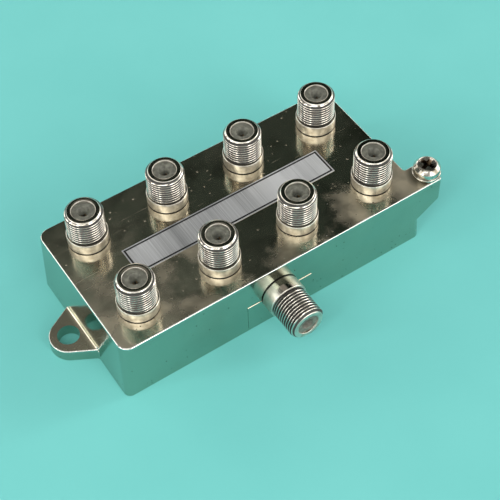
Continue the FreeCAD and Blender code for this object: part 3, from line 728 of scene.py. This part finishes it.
# a point's place from the middle of its corner's round
def fromCorner(side, front):
    return side - halfHousing[0] + draft["cornerRound"], front - halfHousing[1] + draft["cornerRound"]


def isOuter(point):
    side, front = abs(point.x) / mm, abs(point.y) / mm
    acrossX, acrossY = fromCorner(side, front)
    onRound = abs(math.hypot(acrossX, acrossY) - draft["cornerRound"]) < draft["onRound"]
    return (side > halfHousing[0] - draft["flush"] or front > halfHousing[1] - draft["flush"]
            or min(acrossX, acrossY) > -draft["slack"] and onRound)


def drafted(point):
    side, front = abs(point.x) / mm, abs(point.y) / mm
    low = 1 - point.z / mm / roof
    if not isOuter(point) or low < draft["untouched"]:
        return point.copy()
    spread = draft["spread"] * low * min(1, max(0, (side - draft["spreadStart"]) / draft["spreadRun"]))
    if side > draft["kept"]:
        spread *= max(0, (draft["still"] - side) / (draft["still"] - draft["kept"]))
    acrossX, acrossY = fromCorner(side, front)
    if min(acrossX, acrossY) > -draft["slack"] and side < halfHousing[0] + draft["slack"]:
        sharper = low * (1 - draft["footRound"] / draft["cornerRound"])
        side += sharper * (draft["cornerRound"] - acrossX)
        front += sharper * (draft["cornerRound"] - acrossY)
    return Vector((math.copysign((side + spread) * mm, point.x), math.copysign(front * mm, point.y), point.z))


def lifted(point):
    x, y, z = (c / mm for c in point)
    if abs(z - boss["low"]) < 0.02 and x > boss["inner"] and y < boss["back"]:
        return point + Vector((0, 0, boss["lift"] * mm))
    return point.copy()


def spotKey(point):
    return tuple(round(c / mm * 500) for c in point)


def roundedCasting(name, source):
    # the solid's own normals, by face centre and corner
    known = {}
    for face in source.polygons:
        known[spotKey(face.center)] = {spotKey(source.vertices[source.loops[i].vertex_index].co):
                                       source.corner_normals[i].vector.copy() for i in face.loop_indices}
    mesh = source.copy()
    bm = bmesh.new()
    bm.from_mesh(mesh)
    bmesh.ops.remove_doubles(bm, verts=bm.verts, dist=0.001 * mm)
    bm.to_mesh(mesh)
    bm.free()
    mesh.name = name
    mesh.shade_smooth()
    rise = boss["toe"] - boss["low"]
    slope = Vector((rise, 0, -boss["reach"])).normalized()
    flatter = Vector((rise - boss["lift"], 0, -boss["reach"])).normalized()
    tilt = draft["spread"] / roof
    wanted = [(0, 0, 0)] * len(mesh.loops)
    worn = []
    for face in mesh.polygons:
        corners = known.get(spotKey(face.center), {})
        spots = [mesh.vertices[mesh.loops[i].vertex_index].co for i in face.loop_indices]
        normals = [corners.get(spotKey(spot), face.normal) for spot in spots]
        low, high = min(spot.z for spot in spots), max(spot.z for spot in spots)
        if high - low > bevel["least"] * mm and all(abs(n.z - math.sqrt(0.5)) < 0.02 for n in normals):
            normals = [Vector((0, 0, 1)) if spot.z > (low + high) / 2 else Vector((n.x, n.y, 0)).normalized()
                       for spot, n in zip(spots, normals)]
            worn.append(face.index)
        if high - low < 0.01 * mm and face.normal.z > 0.9 and spots[0].y < witness["front"] * mm:
            normals = [Vector(witness["normal"])] * len(normals)
        if all((n - slope).length < 0.02 for n in normals):
            normals = [flatter] * len(normals)
        if all(isOuter(spot) for spot in spots) and max(abs(n.z) for n in normals) < 0.05:
            normals = [Vector((n.x, n.y, n.z + tilt * abs(n.x))).normalized() for n in normals]
        for i, n in zip(face.loop_indices, normals):
            wanted[i] = n
    for vertex in mesh.vertices:
        vertex.co = drafted(lifted(vertex.co))
    mesh.normals_split_custom_set(wanted)
    bare = mesh.attributes.new("worn", "FLOAT", "FACE")
    for i in worn:
        bare.data[i].value = bevel["rubbed"]
    return mesh


casting = newObject("casting", roundedCasting("casting", nodes["housing"].data))
finishPiece(casting, "splitter_body", "cast_zinc", "housing")
print("casting:", len(casting.data.polygons), "faces")


screw = {
    "seat": 19.24,                  # underside of the head
    "headRadius": 3.4,
    "under": 0.3,                   # rounding under the head, which makes the dark line on the washer
    "rim": 1.45,
    "rimRound": 0.7,
    "height": 2.6,
    "shoulderIn": 0.95,
    "shoulderDrop": 0.14,
    "shoulderRound": 0.9,
    "sides": 72,
    "roundSteps": 6,
    "headCrease": 30,
    "crease": 32,
    "turn": 0.35,
    "shankRadius": 1.75,
    "shankLength": 6.8,
    "pitch": 0.6,
    "depth": 0.34,
    "tipRadius": 1.2,
    "tipBevel": 0.45,
    "neck": 0.3,                    # how far the head's stub reaches down into the shank
    "plug": (0.3, 0.2),             # the shank's end in the head: how much narrower, how far up
    "shankSides": 48,
    "rowsPerTurn": 10,
    "recessSpan": 4.5,
    "recessWide": 1.15,
    "recessDeep": 1.5,
    "recessFloor": (0.42, 0.6),     # length and width at the floor, as parts of those at the crown
    "cutterTop": 0.6,               # the cutter stands this far over the crown, flared on
    "cutterFlare": (1.12, 1.1),
}


def crossCutter(s):
    bm = bmesh.new()
    top = (s["seat"] + s["height"] + s["cutterTop"]) * mm
    bottom = (s["seat"] + s["height"] - s["recessDeep"]) * mm
    half, wide = s["recessSpan"] / 2 * mm, s["recessWide"] / 2 * mm
    for turn in (0, math.pi / 2):
        corners = []
        for z, (longer, wider) in ((bottom, s["recessFloor"]), (top, s["cutterFlare"])):
            for x, y in ((-1, -1), (1, -1), (1, 1), (-1, 1)):
                spun = Matrix.Rotation(turn, 2) @ Vector((x * half * longer, y * wide * wider))
                corners.append(bm.verts.new((spun.x, spun.y, z)))
        for loop in ((3, 2, 1, 0), (4, 5, 6, 7), (0, 1, 5, 4), (1, 2, 6, 5), (2, 3, 7, 6), (3, 0, 4, 7)):
            bm.faces.new([corners[k] for k in loop])
    return newObject("crossCutter", meshFrom(bm, "crossCutter"))


def screwMesh(s):
    seat, top = s["seat"], s["seat"] + s["height"]
    root, neck = s["shankRadius"] - s["depth"], s["neck"]
    # head, turned from the shank's root outwards and over the crown
    head = [(0, seat - neck, 0), (root, seat - neck, 0), (root, seat, 0), (s["headRadius"], seat, s["under"]),
            (s["headRadius"], seat + s["rim"], s["rimRound"]),
            (s["headRadius"] - s["shoulderIn"], top - s["shoulderDrop"], s["shoulderRound"]), (0, top, 0)]
    made = newObject("screwHead", turnedMesh("screwHead", roundedProfile(head, s["roundSteps"]), s["sides"]))
    cutter = crossCutter(s)
    cut = made.modifiers.new("recess", "BOOLEAN")
    cut.object = cutter
    cut.solver = "EXACT"
    cut.use_self = True
    headMesh = plainMesh(made, "screwHead", s["headCrease"])
    bpy.data.objects.remove(cutter)
    # shank, threaded along +Z and then turned over
    length, tipRadius = s["shankLength"], s["tipRadius"]
    plugRadius, plugTop = root - s["plug"][0], -s["plug"][1]
    plug = [Vector((root, 0)), Vector((plugRadius, 0)), Vector((plugRadius, plugTop)), Vector((0, plugTop))]
    blank = turnedMesh("shank", plug, s["shankSides"])
    tip = turnedMesh("tip", [Vector((tipRadius, length)), Vector((0, length))], s["shankSides"])
    shank = threadedMesh("shank", joinedMesh("shankBlank", blank, tip), {
        "Start": 0.0, "Length": length * mm, "Pitch": s["pitch"] * mm, "Crest radius": s["shankRadius"] * mm,
        "Depth": s["depth"] * mm, "Mouth radius": tipRadius * mm, "Mouth bevel": s["tipBevel"] * mm,
        "Sides": s["shankSides"], "Rows": int(length / s["pitch"] * s["rowsPerTurn"]),
        "Finish": finishes["plated_screw"]})
    shank.transform(Matrix.Translation((0, 0, seat * mm)) @ Matrix.Rotation(math.pi, 4, "X"))
    mesh = joinedMesh("ground_screw_detailed", headMesh, shank)
    mesh.transform(Matrix.Translation(metres((*screwAxis, 0))) @ Matrix.Rotation(s["turn"], 4, "Z"))
    mesh.shade_smooth()
    mesh.set_sharp_from_angle(angle=math.radians(s["crease"]))
    return mesh


piece = newObject("ground_screw_detailed", screwMesh(screw))
finishPiece(piece, "screw", "plated_screw", "ground_screw")
print("ground screw:", len(piece.data.polygons), "faces")


washer = {"low": 18.42, "thick": 0.8, "inner": 1.95, "innerRound": 0.1, "outer": 3.6, "outerRound": 0.25,
          "sides": 72, "crease": 40}


# plain washer, tumbled: its edges are round and catch the light
def washerMesh(w):
    low, top = w["low"], w["low"] + w["thick"]
    middle = (w["inner"] + w["outer"]) / 2
    loop = [(middle, low, 0), (w["outer"], low, w["outerRound"]), (w["outer"], top, w["outerRound"]),
            (w["inner"], top, w["innerRound"]), (w["inner"], low, w["innerRound"]), (middle, low, 0)]
    mesh = turnedMesh("washer", roundedProfile(loop), w["sides"])
    mesh.transform(Matrix.Translation(metres((*screwAxis, 0))))
    return plainMesh(newObject("washerBlank", mesh), "washer_rounded", w["crease"])


piece = newObject("washer_rounded", washerMesh(washer))
finishPiece(piece, "washer", "plated_screw", "ground_washer")
print("washer:", len(piece.data.polygons), "faces")


floorSet = {
    "colour": "#78CFCD",
    "speck": "#66C0BE",
    "mottleSize": 45.0,
    "mottled": (0.3, 0.75),
    "mottle": 0.35,
    "grainSize": 0.8,
    "grainHeight": 0.04,
    "rough": (0.65, 0.9),
    "half": 3000.0,
    "drop": 0.05,
}


# matt painted board, faintly mottled
def paintedBoard():
    f = floorSet
    material, tree, place = startMaterial("paintedBoard")
    mottle = addNode(tree, "ShaderNodeTexNoise", {"Vector": place, "Scale": scaleFor(f["mottleSize"]),
                                                  "Detail": 6.0})
    amount = addNode(tree, "ShaderNodeMapRange", [mottle, *f["mottled"], 0.0, f["mottle"]])
    colour = addNode(tree, "ShaderNodeMix", {0: amount, 6: linear(f["colour"]), 7: linear(f["speck"])},
                     data_type="RGBA")
    grain = addNode(tree, "ShaderNodeTexNoise", {"Vector": place, "Scale": scaleFor(f["grainSize"]),
                                                 "Detail": 3.0})
    rough = addNode(tree, "ShaderNodeMapRange", [grain, 0.0, 1.0, *f["rough"]])
    bump = addNode(tree, "ShaderNodeBump", {"Height": grain, "Strength": 0.3,
                                            "Distance": f["grainHeight"] * mm})
    return endMaterial(material, {"Base Color": colour, "Roughness": rough, "Normal": bump,
                                  "Specular IOR Level": 0.2})


bm = bmesh.new()
half = floorSet["half"] * mm
bm.faces.new([bm.verts.new((x * half, y * half, -floorSet["drop"] * mm))
              for x, y in ((-1, -1), (1, -1), (1, 1), (-1, 1))])
mesh = meshFrom(bm, "floor")
mesh.materials.append(paintedBoard())
floor = newObject("floor", mesh)

# soft boxes: name, bearing and height above the horizon in degrees, width and height in m, brightness (white
# is 1); none stands where the top plate would mirror it into the camera, so the plate stays dark
softBoxes = [
    ("topBox", 240, 88, 0.66, 0.66, 0.45),
    ("fillBox", 226, 54, 0.60, 0.52, 3.2),
    ("stripLeftBox", 165, 30, 0.14, 1.00, 6.2),
    ("wideLeftBox", 203, 32, 0.20, 0.80, 4.6),
    ("wideRightBox", 276, 32, 0.36, 0.75, 3.5),
    ("stripRightBox", 348, 30, 0.16, 0.90, 5.8),
]
boxDistance = 1.3    # m
boxColour = "#FFFEFA"
for name, bearing, rise, wide, tall, brightness in softBoxes:
    light = bpy.data.lights.new(name, "AREA")
    light.shape = "RECTANGLE"
    light.size = wide
    light.size_y = tall
    light.energy = brightness * math.pi * wide * tall
    light.color = linear(boxColour)[:3]
    box = bpy.data.objects.new(name, light)
    bearing, rise = math.radians(bearing), math.radians(rise)
    toBox = Vector((math.cos(rise) * math.cos(bearing), math.cos(rise) * math.sin(bearing), math.sin(rise)))
    box.location = toBox * boxDistance
    box.rotation_euler = (-toBox).to_track_quat("-Z", "Y").to_euler()
    bpy.context.scene.collection.objects.link(box)

# directions are unit vectors; a pair of numbers is where a change starts and where it is complete
studio = {
    "wall": 1.8,
    "ceiling": 0.035,
    "wallTop": (0.42, 0.68),
    "bandStretch": (1.0, 1.0, 0.25),
    "bandScale": 3.0,
    "banded": (0.42, 0.58),
    "band": (0.15, 1.75),
    "shaded": (-0.643, -0.766, 0.0),
    "shadeEdge": (0.925, 0.975),
    "shade": 0.08,
    "camera": (-0.530, -0.848, 0.0),
    "cameraSide": (-0.3, 0.5),
    "nearCeiling": 0.36,
    "frontSpot": (0.065, 0.369, 0.927),
    "frontSpotLight": 0.40,
    "earSpot": (-0.327, 0.523, 0.788),
    "earSpotLight": 0.30,
    "spotEdge": (0.950, 0.985),
    "dim": "#9CC0AE",
    "pale": "#F4F0EA",
    "tinted": (0.04, 0.45),
    "backdrop": "#BFE6E1",
}

# pale, uneven walls all round and a dark ceiling, which the top plate mirrors; the camera sees a pale backdrop
world = bpy.data.worlds.new("studio")
world.use_nodes = True
tree = world.node_tree
tree.nodes.clear()
direction = addNode(tree, "ShaderNodeTexCoord").outputs["Generated"]
upward = addNode(tree, "ShaderNodeSeparateXYZ", [direction]).outputs["Z"]
walls = addNode(tree, "ShaderNodeMapRange", [upward, *studio["wallTop"], studio["wall"], studio["ceiling"]],
                interpolation_type="SMOOTHSTEP")
# upright bands, light and dark, which the threads mirror
drawn = addNode(tree, "ShaderNodeMapping", {"Vector": direction, "Scale": studio["bandStretch"]})
bands = addNode(tree, "ShaderNodeTexNoise", {"Vector": drawn, "Scale": studio["bandScale"], "Detail": 2.0})
uneven = addNode(tree, "ShaderNodeMapRange", [bands, *studio["banded"], *studio["band"]])
# the wall behind the camera is in shadow
sideways = addNode(tree, "ShaderNodeVectorMath", [direction, (1.0, 1.0, 0.0)], operation="MULTIPLY")
around = addNode(tree, "ShaderNodeVectorMath", [sideways], operation="NORMALIZE")
toShaded = addNode(tree, "ShaderNodeVectorMath", [around, studio["shaded"]], operation="DOT_PRODUCT")
shade = addNode(tree, "ShaderNodeMapRange", [toShaded, *studio["shadeEdge"], 1.0, studio["shade"]],
                interpolation_type="SMOOTHSTEP")
lit = addNode(tree, "ShaderNodeMath", [uneven, shade], operation="MULTIPLY")
level = addNode(tree, "ShaderNodeMath", [walls, lit], operation="MULTIPLY")
# the ceiling is paler on the camera's side, and has two pale spots: the plate's front left mirrors one, and the
# ear's top, as the end wall pictures it, the other
glows = [("camera", "cameraSide", "nearCeiling"), ("frontSpot", "spotEdge", "frontSpotLight"),
         ("earSpot", "spotEdge", "earSpotLight")]
for way, edge, brightness in glows:
    toward = addNode(tree, "ShaderNodeVectorMath", [direction, studio[way]], operation="DOT_PRODUCT")
    glow = addNode(tree, "ShaderNodeMapRange", [toward, *studio[edge], 0.0, studio[brightness]],
                   interpolation_type="SMOOTHSTEP")
    level = addNode(tree, "ShaderNodeMath", [level, glow], operation="ADD")
tinted = addNode(tree, "ShaderNodeMapRange", [level, *studio["tinted"]])
tint = addNode(tree, "ShaderNodeMix", {0: tinted, 6: linear(studio["dim"]), 7: linear(studio["pale"])},
               data_type="RGBA")
room = addNode(tree, "ShaderNodeBackground", {"Color": tint, "Strength": level})
backdrop = addNode(tree, "ShaderNodeBackground", {"Color": linear(studio["backdrop"]), "Strength": 1.0})
path = addNode(tree, "ShaderNodeLightPath")
seen = addNode(tree, "ShaderNodeMixShader", [path.outputs["Is Camera Ray"], room, backdrop])
addNode(tree, "ShaderNodeOutputWorld", {"Surface": seen})
bpy.context.scene.world = world

# camera fitted to the port mouths and the housing's corners
cameraSet = {"place": (-0.09986, -0.16979, 0.25768), "right": (0.8335, -0.5519, -0.0247),
             "up": (0.44968, 0.65179, 0.61071), "view": (0.32098, 0.52014, -0.79147), "lens": 92.4,
             "sensor": 36.0, "nearest": 0.01}
lens = bpy.data.cameras.new("camera")
lens.lens = cameraSet["lens"]
lens.sensor_width = cameraSet["sensor"]
lens.clip_start = cameraSet["nearest"]
camera = bpy.data.objects.new("camera", lens)
axes = Matrix((cameraSet["right"], cameraSet["up"], -Vector(cameraSet["view"]))).transposed().to_4x4()
camera.matrix_world = Matrix.Translation(cameraSet["place"]) @ axes
bpy.context.scene.collection.objects.link(camera)
bpy.context.scene.camera = camera
bpy.context.scene.view_settings.view_transform = "Standard"
print("stage ready")
